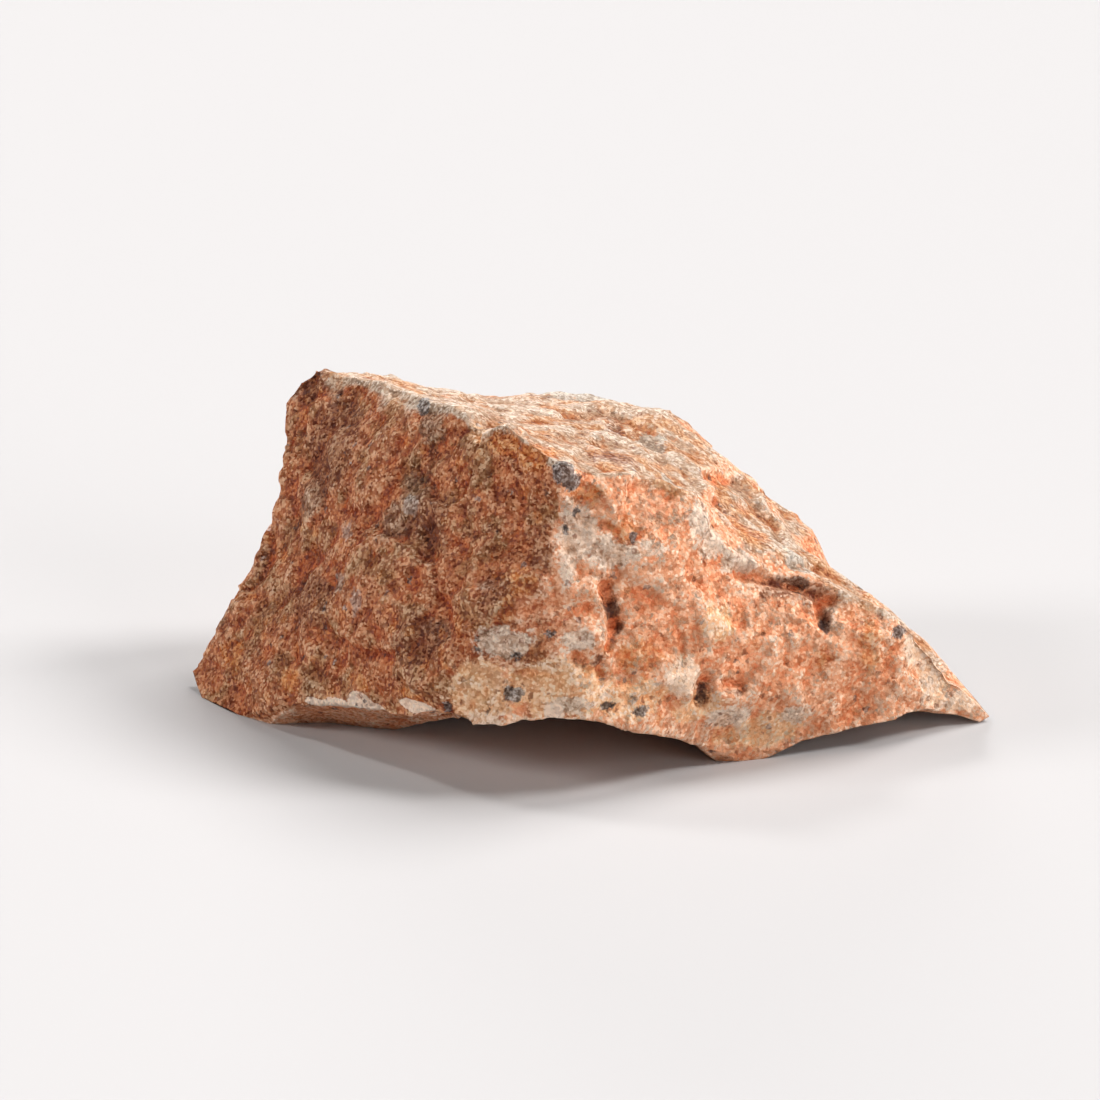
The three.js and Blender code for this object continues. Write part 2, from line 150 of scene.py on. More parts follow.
# The swells and ripples that bend the stone and the facets that break it: size, and how far they push
SWELL_SIZE, SWELL = 3.6, 0.16
RIPPLE_SIZE, RIPPLE = 1.4, 0.09
FACET_SIZE, FACET_RISE = 2.3, 0.2

# How wide the step between two facets is, in shares of a facet, and a distance past that of any facet's seed
FACET_STEP = 0.16
TOO_FAR = 9.0

# Ledges: the slow wave that they follow, how far it goes up and down, how high each ledge is, and for how much
# of its way it is flat; and the size of the smaller wave on the slow one, and its share
LEDGE_SIZE, LEDGE_WAVE, LEDGE_HEIGHT, LEDGE_FLAT = 2.1, 0.15, 0.085, 0.72
SMALL_WAVE_SIZE, SMALL_WAVE = LEDGE_SIZE / 2.7, 0.45

# The two sizes of noise that make the plates' outlines ragged, and how far each pushes
SHAKE_SIZE, SHAKE = 1.2, 0.5
FINE_SHAKE_SIZE, FINE_SHAKE = 0.4, 0.14

# The finer breaks, down to what the mesh can carry: size of a facet, rise
CHIP_SIZE, CHIP_RISE = 0.95, 0.07
CRUMB_SIZE, CRUMB_RISE = 0.42, 0.022


def mix(low, high, share):
    """From low to high by the given share."""
    return low + (high - low) * share


def smooth(share):
    """The share of the way from 0 to 1, eased at both ends: three times its square less twice its cube."""
    return share * share * (3 - 2 * share)


def ramp(low, high, value):
    """0 up to low, 1 from high on, eased in between."""
    return smooth(np.clip((value - low) / (high - low), 0, 1))


def chance(cells, seed):
    """A number from 0 to 1 for each whole-numbered place: what follows the point in a large multiple of a sine."""
    wave = np.sin(cells @ np.array([127.1, 311.7, 74.7]) + seed * 53.3) * 43758.5453
    return wave - np.floor(wave)


def noise(points, size, seed):
    """Smooth noise from -1 to 1: chance at the eight corners of a point's cell, blended by its eased shares."""
    cells = np.floor(points / size)
    shares = smooth(points / size - cells)
    total = np.zeros(len(points))
    for corner in itertools.product((0, 1), repeat=3):
        weights = np.where(np.array(corner) == 1, shares, 1 - shares).prod(axis=1)
        total += weights * chance(cells + np.array(corner), seed)
    return 2 * total - 1


def facets(points, size, seed):
    """Each cell of space holds one tilted plane; a point takes the height of the plane whose seed is nearest,
    eased into that of the next nearest one, so that the surface breaks into facets with small steps between."""
    scaled = points / size
    nearest = np.full(len(points), TOO_FAR)
    following = nearest.copy()
    height = np.zeros(len(points))
    next_height = height.copy()
    for step in itertools.product((-1, 0, 1), repeat=3):
        cells = np.floor(scaled) + np.array(step)
        away = scaled - cells - np.stack([chance(cells, seed + axis) for axis in range(3)], axis=1)
        tilt = 2 * np.stack([chance(cells, seed + 3 + axis) for axis in range(3)], axis=1) - 1
        rise = (tilt * away).sum(axis=1)
        distance = np.linalg.norm(away, axis=1)
        is_nearest = distance < nearest
        is_next = (distance < following) & ~is_nearest
        next_height = np.where(is_nearest, height, np.where(is_next, rise, next_height))
        following = np.where(is_nearest, nearest, np.where(is_next, distance, following))
        height = np.where(is_nearest, rise, height)
        nearest = np.where(is_nearest, distance, nearest)
    return mix(next_height, height, 0.5 + 0.5 * ramp(0, FACET_STEP, following - nearest))


def broken_faces():
    """The corners, and the three-cornered faces between them: the corners are joined up as they are seen from
    the heart, which is the convex hull of their sightlines, and every face is turned to look outwards."""
    corners = np.array(list(itertools.chain(*CORNERS.values())))
    sightlines = corners - HEART
    sightlines /= np.linalg.norm(sightlines, axis=1, keepdims=True)
    net = bpy.data.meshes.new("sightlines")
    net.from_pydata(sightlines.tolist(), [], [])
    hull = bmesh.new()
    hull.from_mesh(net)
    bmesh.ops.convex_hull(hull, input=hull.verts)
    bmesh.ops.triangulate(hull, faces=hull.faces)
    faces = np.array([[corner.index for corner in face.verts] for face in hull.faces])
    hull.free()
    bpy.data.meshes.remove(net)
    a, b, c = sightlines[faces].transpose(1, 0, 2)
    looks_in = (np.cross(b - a, c - a) * a).sum(axis=1) < 0
    faces[looks_in] = faces[looks_in][:, ::-1]
    return corners, faces


def face_grid(steps):
    """A grid of two parameters over a three-cornered face: whole-number shares of its three corners that add up
    to steps, and the small triangles between neighbouring places."""
    a, b = np.meshgrid(np.arange(steps + 1), np.arange(steps + 1), indexing="ij")
    inside = a + b <= steps
    number = np.full(a.shape, -1)
    number[inside] = np.arange(inside.sum())
    shares = np.stack([steps - a - b, a, b], axis=-1)[inside]
    upright = np.stack([number[:-1, :-1], number[1:, :-1], number[:-1, 1:]], axis=-1)[inside[1:, :-1]]
    inverted = np.stack([number[1:, :-1], number[1:, 1:], number[:-1, 1:]], axis=-1)[inside[1:, 1:]]
    return shares, np.concatenate([upright, inverted])


def fine_faces(corners, faces, steps):
    """Every broken face as a grid of two parameters: a place is the mean of the face's corners, weighted by its
    shares. Places on a shared edge or corner have the same shares of the same corners, and become one point."""
    shares, small = face_grid(steps)
    places = np.einsum("mk,fkc->fmc", shares / steps, corners[faces]).reshape(-1, 3)
    names = np.where(shares > 0, faces[:, None, :] * (steps + 1) + shares, -1)
    names = np.sort(names, axis=2).reshape(-1, 3)
    _, first, number = np.unique(names, axis=0, return_index=True, return_inverse=True)
    offsets = np.arange(len(faces))[:, None, None] * len(shares)
    return places[first], number.reshape(-1)[(small + offsets).reshape(-1, 3)]


def edges_of(triangles):
    """Each edge between two points, once."""
    sides = np.concatenate([triangles[:, [0, 1]], triangles[:, [1, 2]], triangles[:, [2, 0]]])
    return sides[sides[:, 0] < sides[:, 1]]


def eased(values, edges, times):
    """Each point's value becomes the mean of its own and its neighbours' values, as many times as asked."""
    count = np.bincount(edges.ravel(), minlength=len(values)) + 1
    for _ in range(times):
        around = np.stack([np.bincount(edges[:, 0], column[edges[:, 1]], len(values))
                           + np.bincount(edges[:, 1], column[edges[:, 0]], len(values)) for column in values.T])
        values = (values + around.T) / count[:, None]
    return values


def outward(points, triangles):
    """The unit normal at each point: the sum of the cross products of the triangles round it, made one long."""
    a, b, c = points[triangles].transpose(1, 0, 2)
    across = np.repeat(np.cross(b - a, c - a), 3, axis=0)
    normals = np.stack([np.bincount(triangles.ravel(), column, len(points)) for column in across.T], axis=1)
    return normals / np.linalg.norm(normals, axis=1, keepdims=True)


def shaken(points):
    """The points pushed about by two sizes of noise, which makes what is measured from them ragged."""
    push = [SHAKE * noise(points, SHAKE_SIZE, 40 + axis)
            + FINE_SHAKE * noise(points, FINE_SHAKE_SIZE, 44 + axis) for axis in range(3)]
    return points + np.stack(push, axis=1)


def plate_rise(ragged, plate):
    """The plate's rise inside an ellipsoid about its middle, and 0 outside it, with a rim PLATE_RIM wide."""
    middle, reach, rise = plate
    away = np.linalg.norm((ragged - np.array(middle)) / np.array(reach), axis=1)
    return rise * ramp(0, PLATE_RIM, (1 - away) * np.mean(reach))


def mark_rise(points, mark):
    """The mark's rise on its line, falling off with the cube of the distance to it over its radius."""
    start, end, radius, rise = mark
    along = np.array(end) - np.array(start)
    share = np.clip((points - np.array(start)) @ along / (along @ along), 0, 1)
    distance = np.linalg.norm(points - np.array(start) - share[:, None] * along, axis=1)
    return rise * np.exp(-(distance / radius) ** 3)


def ledge_rise(points):
    """A slow wave of noise cut into levels LEDGE_HEIGHT apart: flat for most of the way, then a steep step."""
    wave = noise(points, LEDGE_SIZE, 70) + SMALL_WAVE * noise(points, SMALL_WAVE_SIZE, 71)
    levels = wave * LEDGE_WAVE / LEDGE_HEIGHT
    return LEDGE_HEIGHT * (np.floor(levels) + ramp(LEDGE_FLAT, 1, levels - np.floor(levels)))


def bent(points):
    """Large swells and smaller ripples push every point along all three axes, less so near the ground."""
    push = [SWELL * noise(points, SWELL_SIZE, 10 + axis)
            + RIPPLE * noise(points, RIPPLE_SIZE, 20 + axis) for axis in range(3)]
    return points + freedom(points) * np.stack(push, axis=1)


def freedom(points):
    """How much of its way a point moves: FOOT_FREEDOM at the ground, eased to all of it at FOOT_HEIGHT."""
    return mix(FOOT_FREEDOM, 1, ramp(0, FOOT_HEIGHT, points[:, 2:]))


def carved(points, triangles, edges):
    """Facets of three sizes, ledges, plates and marks lift or sink each point along its eased normal."""
    normals = eased(outward(points, triangles), edges, CARVING_EASE)
    normals /= np.linalg.norm(normals, axis=1, keepdims=True)
    rise = FACET_RISE * facets(points, FACET_SIZE, 30) + ledge_rise(points)
    ragged = shaken(points)
    rise += sum(plate_rise(ragged, plate) for plate in PLATES.values())
    rise += sum(mark_rise(points, mark) for mark in MARKS.values())
    rise += CHIP_RISE * facets(points, CHIP_SIZE, 50)
    rise += CRUMB_RISE * facets(points, CRUMB_SIZE, 60)
    return points + freedom(points) * rise[:, None] * normals


def fitted(points):
    """The points carried onto the solid's own box, with the feet FOOT_WEAR below the ground, and worn flat."""
    low, high = (np.array(corner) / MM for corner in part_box("stone"))
    low[2] -= FOOT_WEAR
    own_low, own_high = points.min(axis=0), points.max(axis=0)
    points = low + (points - own_low) / (own_high - own_low) * (high - low)
    points[:, 2] = np.maximum(points[:, 2], 0)
    return points


points, triangles = fine_faces(*broken_faces(), FACE_STEPS)
edges = edges_of(triangles)
points = fitted(carved(bent(points), triangles, edges))

stone_mesh = bpy.data.meshes.new("broken_stone")
stone_mesh.from_pydata((points * MM).tolist(), [], triangles.tolist())
stone_mesh.shade_smooth()
stone = bpy.data.objects.new("broken_stone", stone_mesh)
bpy.context.scene.collection.objects.link(stone)
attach(stone, "root")
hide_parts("stone")

# Where the rock changes colour: each patch is an ellipsoid about a place on the surface, given by its middle
# and its reach
PATCHES = {
    # light grey rock with fine dark specks
    "grey": {
        "prow_top": ((-0.5, -5.3, 8.4), (0.45, 0.6, 0.5)),
        "prow_middle": ((-0.3, -5.4, 7.7), (0.7, 0.7, 0.7)),
        "prow_foot": ((-0.7, -5.8, 6.7), (0.3, 0.5, 0.75)),
        "prow_right": ((0.5, -5.5, 7.2), (0.7, 0.6, 0.55)),
        "prow_arm": ((1.5, -5.1, 7.15), (0.8, 0.6, 0.24)),
        "shoulder_band_start": ((3.3, -3.7, 7.6), (0.4, 0.6, 0.5)),
        "shoulder_band": ((3.7, -3.7, 6.8), (0.45, 0.6, 0.55)),
        "shoulder_band_end": ((4.6, -3.4, 6.1), (0.75, 0.6, 0.4)),
        "behind_shoulder": ((6.2, -1.6, 5.5), (1.0, 0.7, 0.35)),
        "front_top": ((-2.7, -6.6, 4.7), (0.9, 0.6, 0.5)),
        "front_middle": ((-0.4, -6.7, 4.8), (0.5, 0.5, 0.35)),
        "front_low": ((-0.6, -7.2, 2.95), (0.6, 0.5, 0.25)),
        "right_low": ((4.2, -4.9, 1.7), (0.8, 0.6, 0.4)),
        "right_low_end": ((6.3, -4.1, 1.4), (0.55, 0.5, 0.3)),
        "far_rim": ((0.2, 6.1, 8.1), (1.7, 1.0, 0.6)),
        "top_streak": ((1.9, 2.2, 7.9), (0.5, 0.9, 0.3)),
        "top_line": ((2.5, -2.2, 8.3), (0.6, 0.5, 0.2)),
        "back_left": ((-6.0, 6.4, 6.6), (1.2, 1.0, 0.9)),
        "back_low": ((0.8, 7.2, 3.4), (1.5, 1.0, 1.1)),
        "end_low": ((-10.6, 3.4, 2.4), (0.7, 0.9, 0.6)),
    },
    # cream to tan rock
    "cream": {
        "front_left": ((-3.4, -6.8, 3.2), (1.1, 0.8, 1.0)),
        "front_middle": ((-0.9, -7.1, 3.4), (1.7, 0.8, 0.9)),
        "front_right": ((1.3, -6.6, 2.8), (1.3, 0.8, 0.6)),
        "crest_notch": ((-3.3, -2.2, 9.9), (0.3, 0.4, 0.4)),
        "right_low": ((5.2, -4.4, 1.0), (1.6, 0.7, 0.6)),
        "right_middle": ((3.9, -4.8, 4.7), (0.6, 0.6, 0.6)),
        "right_under_lump": ((3.2, -5.5, 2.2), (0.9, 0.6, 0.5)),
        "back_middle": ((3.6, 6.4, 5.2), (1.6, 1.2, 0.9)),
        "back_foot": ((-7.4, 5.6, 2.2), (1.6, 1.0, 0.7)),
    },
    # the palest cream rock, on the lump and on the thin end
    "pale": {
        "lump": ((2.8, -5.8, 3.3), (0.6, 0.7, 0.65)),
        "flank_top": ((10.0, -1.9, 2.7), (0.45, 0.6, 0.6)),
        "flank": ((10.6, -1.7, 1.5), (0.7, 0.7, 0.8)),
        "spur": ((11.5, -1.3, 0.8), (0.9, 0.6, 0.35)),
        "hem": ((-3.0, -7.1, 2.3), (1.6, 0.5, 0.3)),
    },
    # fresh white chips on the lower edge
    "chip": {
        "sliver": ((-8.3, -2.9, 1.3), (0.9, 0.6, 0.14)),
        "sliver_middle": ((-7.6, -3.5, 1.5), (0.6, 0.6, 0.17)),
        "triangle": ((-7.0, -4.0, 1.8), (0.42, 0.6, 0.34)),
        "sliver_end": ((-6.5, -4.5, 1.75), (0.45, 0.6, 0.16)),
        "by_prow": ((-5.3, -5.8, 2.3), (0.7, 0.7, 0.2)),
        "hem_chip": ((-1.1, -7.3, 2.7), (0.3, 0.3, 0.3)),
    },
    # orange rust stains
    "rust": {
        "crest_rim": ((-2.4, -3.3, 9.9), (0.6, 0.6, 0.35)),
        "crest_rim_front": ((-1.6, -4.2, 9.8), (0.6, 0.6, 0.45)),
        "below_brow": ((-0.1, -5.1, 8.9), (0.6, 0.5, 0.3)),
        "right_of_patch": ((1.1, -5.0, 7.7), (0.55, 0.5, 0.35)),
        "beside_pits": ((1.5, -6.2, 4.1), (0.8, 0.6, 0.5)),
        "left_end": ((-11.0, 1.1, 1.4), (0.6, 0.7, 0.4)),
        "left_low": ((-9.2, -1.7, 1.6), (0.45, 0.5, 0.3)),
        "crack_foot": ((7.1, -3.4, 3.0), (0.25, 0.4, 0.3)),
        "over_triangle": ((-6.9, -3.8, 2.4), (0.5, 0.6, 0.2)),
        "over_chip": ((-5.4, -5.5, 2.6), (0.6, 0.6, 0.2)),
        "shoulder_end": ((8.6, -2.8, 3.2), (0.35, 0.5, 0.9)),
        "top_band": ((4.8, -1.1, 6.4), (0.9, 1.2, 0.5)),
        "prow_ridge": ((-2.0, -5.9, 6.4), (0.5, 0.6, 0.4)),
        "back_crack": ((-1.4, 7.1, 5.2), (1.4, 0.8, 0.5)),
    },
    # nearly black grains
    "dark": {
        "brow": ((-0.8, -5.1, 9.6), (0.36, 0.5, 0.36)),
        "brow_low": ((-0.55, -5.2, 9.3), (0.32, 0.5, 0.28)),
        "crest": ((-5.0, 0.3, 9.8), (0.28, 0.6, 0.3)),
        "crest_small": ((-4.1, -0.9, 9.5), (0.2, 0.4, 0.2)),
        "front": ((-2.3, -7.0, 3.2), (0.32, 0.4, 0.2)),
        "patch_speck": ((-0.4, -5.3, 8.4), (0.14, 0.3, 0.12)),
        "patch_speck_low": ((-0.7, -5.3, 7.9), (0.13, 0.3, 0.14)),
        "front_speck": ((-3.4, -6.5, 4.4), (0.14, 0.3, 0.1)),
        "front_speck_right": ((-2.2, -6.7, 4.3), (0.16, 0.3, 0.12)),
        "front_speck_top": ((-1.2, -6.6, 5.0), (0.16, 0.3, 0.1)),
        "low_speck": ((0.5, -7.0, 2.8), (0.26, 0.4, 0.13)),
        "low_streak": ((1.5, -6.5, 2.5), (0.34, 0.4, 0.16)),
        "hem_speck": ((-4.3, -6.3, 2.5), (0.16, 0.3, 0.2)),
        "right_speck": ((1.3, -5.0, 7.5), (0.14, 0.3, 0.12)),
        "shoulder_end": ((9.5, -2.2, 3.4), (0.26, 0.4, 0.2)),
        "back": ((-2.6, 7.2, 3.2), (0.45, 0.4, 0.35)),
        "back_small": ((4.4, 6.2, 4.0), (0.25, 0.4, 0.3)),
    },
    # darker red-brown rock, and painted shade along the groove under the shoulder ledge and in the back scar
    "brown": {
        # the two shoulder band patches are painted shade along the groove under the shoulder ledge
        "shoulder_band": ((5.5, -3.0, 5.1), (0.9, 0.6, 0.25)),
        "shoulder_band_end": ((6.9, -2.7, 4.8), (0.7, 0.6, 0.25)),
        "left_middle": ((-4.8, -2.8, 7.2), (0.8, 1.0, 0.8)),
        "nub": ((-8.6, 5.2, 9.0), (0.7, 0.7, 0.6)),
        "left_top": ((-7.8, 2.6, 7.8), (1.0, 1.9, 1.6)),
        "left_low": ((-8.6, -0.7, 3.9), (0.9, 1.2, 0.9)),
        "left_by_prow": ((-5.1, -5.0, 4.2), (1.0, 1.0, 0.8)),
        "ridge": ((-1.5, -5.7, 7.3), (0.4, 0.6, 0.65)),
        "ridge_low": ((-2.7, -5.8, 6.1), (0.5, 0.6, 0.5)),
        "top_knob": ((0.7, 2.4, 8.2), (0.35, 0.9, 0.4)),
        "top_band": ((0.9, -2.5, 9.1), (0.9, 0.6, 0.22)),
        # painted shadow below the back ledge, in the hollow of the back scar
        "back_shadow": ((-4.6, 6.8, 3.6), (1.8, 1.0, 0.8)),
    },
    # smoky grey-brown rock on the left face
    "smoky": {
        "crest_block": ((-4.6, -0.6, 9.4), (0.55, 0.8, 0.85)),
        "below_crest": ((-5.0, -1.6, 7.8), (0.7, 0.8, 0.5)),
        "middle": ((-5.9, -1.9, 6.8), (0.6, 0.8, 0.6)),
        "low": ((-4.6, -5.4, 4.6), (0.5, 0.6, 0.4)),
        "far": ((-8.4, 1.9, 6.2), (0.6, 0.8, 0.9)),
    },
    # small blue-grey and whitish grains on the left face
    "blue": {
        "left": ((-7.6, -1.4, 4.7), (0.26, 0.5, 0.3)),
        "left_white": ((-7.1, -2.7, 4.6), (0.2, 0.5, 0.38)),
        "ledge": ((-5.4, -2.1, 7.45), (0.3, 0.5, 0.3)),
        "left_spot": ((-7.4, -0.4, 6.0), (0.24, 0.4, 0.26)),
        "end": ((-10.3, 3.6, 4.6), (0.3, 0.5, 0.3)),
    },
}

# The depth that stands for far outside every patch, and how deep a mark has sunk where the painted shade on its
# floor begins
FAR_OUTSIDE = -4.0
PIT_RIM = 0.17

# The ways that the left face and the back look
LEFT_FACE_LOOKS = np.array([-0.86, -0.47, 0.2])
BACK_LOOKS = np.array([-0.3, 0.95, -0.1])


def depth_inside(points, patches):
    """How far, in millimetres, a point lies inside the rim of the nearest patch, and below 0 outside it: one
    less the distance from the patch's middle in shares of its reach, times the mean of the two smaller reaches."""
    depth = np.full(len(points), FAR_OUTSIDE)
    for middle, reach in patches.values():
        away = np.linalg.norm((points - np.array(middle)) / np.array(reach), axis=1)
        depth = np.maximum(depth, (1 - away) * np.mean(np.sort(reach)[:2]))
    return depth


def hollowness(points, triangles, edges):
    """How far, in millimetres, a point lies below the eased surface about it; proud edges come out below 0. The
    colour takes painted shade in the hollows and painted highlight on the proud edges from it.
    """
    return ((eased(points, edges, HOLLOW_EASE) - points) * outward(points, triangles)).sum(axis=1)


def pit_depth(points):
    """How much deeper than PIT_RIM, in millimetres, the marks that sink in have sunk at a point."""
    sunk = [mark_rise(points, mark) for mark in MARKS.values() if mark[3] < 0]
    return -PIT_RIM - sum(sunk)


wide_normals = eased(outward(points, triangles), edges, TURN_EASE)
wide_normals /= np.linalg.norm(wide_normals, axis=1, keepdims=True)
fields = {kind: depth_inside(points, patches) for kind, patches in PATCHES.items()}
fields["turned_left"] = wide_normals @ LEFT_FACE_LOOKS
fields["turned_up"] = wide_normals[:, 2]
fields["turned_back"] = wide_normals @ BACK_LOOKS
fields["hollow"] = hollowness(points, triangles, edges)
fields["pit"] = pit_depth(points)
for name, values in fields.items():
    stone_mesh.attributes.new(name, "FLOAT", "POINT").data.foreach_set("value", values.astype(np.float32))


def linear(red, green, blue):
    """A shader's colour from the three numbers, 0 to 255, that a screen shows it with."""
    shares = np.array([red, green, blue]) / 255
    return (*np.where(shares <= 0.04045, shares / 12.92, ((shares + 0.055) / 1.055) ** 2.4), 1.0)


def node(tree, kind, inputs, **settings):
    """A node of that kind with those settings; each input gets a value, or the socket that feeds it."""
    made = tree.nodes.new(kind)
    for name, value in settings.items():
        setattr(made, name, value)
    for name, value in inputs.items():
        if isinstance(value, bpy.types.NodeSocket):
            tree.links.new(value, made.inputs[name])
        else:
            made.inputs[name].default_value = value
    return made


def maths(tree, operation, *values):
    """The result of one sum on one, two or three numbers or sockets."""
    return node(tree, "ShaderNodeMath", dict(enumerate(values)), operation=operation).outputs[0]


def group(name, inputs, outputs):
    """An empty node group with those sockets; a socket's kind is Float, Vector or Color."""
    tree = bpy.data.node_groups.new(name, "ShaderNodeTree")
    for direction, sockets in (("INPUT", inputs), ("OUTPUT", outputs)):
        for socket, kind in sockets.items():
            tree.interface.new_socket(socket, in_out=direction, socket_type=f"NodeSocket{kind}")
    return tree, tree.nodes.new("NodeGroupInput").outputs, tree.nodes.new("NodeGroupOutput").inputs


# Noise seldom strays more than a sixth from its middle, so it is spread out this many times
NOISE_SPREAD = 6.0

# A grain's outline: waves so many times finer than its cell, how far they push it, and where its rim begins
GRAIN_WAVES, GRAIN_WOBBLE, GRAIN_RIM = 2.6, 0.9, 0.72


def ragged_patch():
    """The mask of a patch with a ragged rim: its depth, shifted by noise of a given size and strength, is eased
    from 0 to 1 over a given width. All lengths are in millimetres."""
    tree, given, result = group("ragged_patch", {"Place": "Vector", "Depth": "Float", "Size": "Float",
                                                 "Ragged": "Float", "Edge": "Float"}, {"Mask": "Float"})
    scale = maths(tree, "DIVIDE", 1.0, given["Size"])
    waves = node(tree, "ShaderNodeTexNoise", {"Vector": given["Place"], "Scale": scale, "Detail": 5.0,
                                              "Roughness": 0.78}).outputs["Fac"]
    spread = maths(tree, "MULTIPLY", given["Ragged"], NOISE_SPREAD)
    push = maths(tree, "MULTIPLY", maths(tree, "SUBTRACT", waves, 0.5), spread)
    share = maths(tree, "DIVIDE", maths(tree, "ADD", given["Depth"], push), given["Edge"])
    eased_share = node(tree, "ShaderNodeMapRange", {"Value": share, "From Min": -0.5, "From Max": 0.5},
                       interpolation_type="SMOOTHSTEP")
    tree.links.new(eased_share.outputs["Result"], result["Mask"])
    return tree


def scattered_grains():
    """The mask of grains that lie scattered in the rock: space is cut into cells of a given size about random
    seeds, a share of the cells hold a grain, and a grain fills its cell up to a given radius from the seed."""
    tree, given, result = group("scattered_grains", {"Place": "Vector", "Size": "Float", "Share": "Float",
                                                     "Radius": "Float"}, {"Mask": "Float", "Chance": "Float"})
    scale = maths(tree, "DIVIDE", 1.0, given["Size"])
    fine_scale = maths(tree, "MULTIPLY", scale, GRAIN_WAVES)
    waves = node(tree, "ShaderNodeTexNoise", {"Vector": given["Place"], "Scale": fine_scale,
                                              "Detail": 2.0}).outputs["Color"]
    centred = node(tree, "ShaderNodeVectorMath", {0: waves, 1: (0.5, 0.5, 0.5)}, operation="SUBTRACT").outputs[0]
    reach = maths(tree, "MULTIPLY", given["Size"], GRAIN_WOBBLE)
    wobble = node(tree, "ShaderNodeVectorMath", {0: centred, "Scale": reach}, operation="SCALE").outputs[0]
    place = node(tree, "ShaderNodeVectorMath", {0: given["Place"], 1: wobble}, operation="ADD").outputs[0]
    cells = node(tree, "ShaderNodeTexVoronoi", {"Vector": place, "Scale": scale})
    draws = node(tree, "ShaderNodeSeparateColor", {"Color": cells.outputs["Color"]}).outputs
    chosen = maths(tree, "LESS_THAN", draws["Red"], given["Share"])
    inner = maths(tree, "MULTIPLY", given["Radius"], GRAIN_RIM)
    filled = node(tree, "ShaderNodeMapRange", {"Value": cells.outputs["Distance"], "From Min": given["Radius"],
                                               "From Max": inner}, interpolation_type="SMOOTHSTEP")
    tree.links.new(maths(tree, "MULTIPLY", chosen, filled.outputs["Result"]), result["Mask"])
    tree.links.new(draws["Green"], result["Chance"])
    return tree


def tilted_crystals():
    """Flat crystals that meet at crisp edges: space is cut into cells of a given size, and in each of them the
    height, in millimetres, rises from the cell's seed along a direction of its own; and a chance for each cell."""
    tree, given, result = group("tilted_crystals", {"Place": "Vector", "Size": "Float"},
                                {"Height": "Float", "Chance": "Float", "Draw": "Float"})
    scale = maths(tree, "DIVIDE", 1.0, given["Size"])
    cells = node(tree, "ShaderNodeTexVoronoi", {"Vector": given["Place"], "Scale": scale})
    away = node(tree, "ShaderNodeVectorMath", {0: given["Place"], 1: cells.outputs["Position"]},
                operation="SUBTRACT").outputs[0]
    tilt = node(tree, "ShaderNodeVectorMath", {0: cells.outputs["Color"], 1: (0.5, 0.5, 0.5)},
                operation="SUBTRACT").outputs[0]
    height = node(tree, "ShaderNodeVectorMath", {0: tilt, 1: away}, operation="DOT_PRODUCT").outputs["Value"]
    draws = node(tree, "ShaderNodeSeparateColor", {"Color": cells.outputs["Color"]}).outputs
    tree.links.new(height, result["Height"])
    tree.links.new(draws["Red"], result["Chance"])
    tree.links.new(draws["Green"], result["Draw"])
    return tree


material = bpy.data.materials.new("broken_breccia")
material.use_nodes = True
stone_mesh.materials.append(material)
tree = material.node_tree
patch_group = ragged_patch()
grain_group = scattered_grains()
crystal_group = tilted_crystals()
own_place = node(tree, "ShaderNodeTexCoord", {}).outputs["Object"]
place = node(tree, "ShaderNodeVectorMath", {0: own_place, "Scale": 1 / MM}, operation="SCALE").outputs[0]


def field(name):
    """The number that the surface carries under that name."""
    return node(tree, "ShaderNodeAttribute", {}, attribute_name=name).outputs["Fac"]


def patch(depth, size, ragged, edge):
    """The mask of one kind of patch, with a ragged rim."""
    inputs = {"Place": place, "Depth": depth, "Size": size, "Ragged": ragged, "Edge": edge}
    return node(tree, "ShaderNodeGroup", inputs, node_tree=patch_group).outputs["Mask"]


def grains(size, share, radius, shift=(0, 0, 0)):
    """The mask of one kind of scattered grain, and a chance from 0 to 1 for each; shift tells kinds apart."""
    moved = node(tree, "ShaderNodeVectorMath", {0: place, 1: shift}, operation="ADD").outputs[0]
    inputs = {"Place": moved, "Size": size, "Share": share, "Radius": radius}
    return node(tree, "ShaderNodeGroup", inputs, node_tree=grain_group).outputs


def waves(size, detail=4.0, roughness=0.6, stretch=(1, 1, 1)):
    """Noise from 0 to 1 with waves of that size, in millimetres."""
    stretched = node(tree, "ShaderNodeVectorMath", {0: place, 1: stretch}, operation="MULTIPLY").outputs[0]
    inputs = {"Vector": stretched, "Scale": 1 / size, "Detail": detail, "Roughness": roughness}
    return node(tree, "ShaderNodeTexNoise", inputs).outputs["Fac"]


def between(value, low, high, start=0.0, end=1.0):
    """From start to end as the value goes from low to high, eased at both ends."""
    inputs = {"Value": value, "From Min": low, "From Max": high, "To Min": start, "To Max": end}
    return node(tree, "ShaderNodeMapRange", inputs, interpolation_type="SMOOTHSTEP").outputs["Result"]


def blend(under, over, mask, strength=1.0):
    """The colour under, covered by the colour over where the mask is 1, up to that strength."""
    if strength != 1.0:
        mask = maths(tree, "MULTIPLY", mask, strength)
    mixer = node(tree, "ShaderNodeMix", {0: mask, 6: under, 7: over}, data_type="RGBA")
    return mixer.outputs[2]


def tinted(colour, factor):
    """The colour made lighter or darker by a factor."""
    return node(tree, "ShaderNodeVectorMath", {0: colour, "Scale": factor}, operation="SCALE").outputs[0]


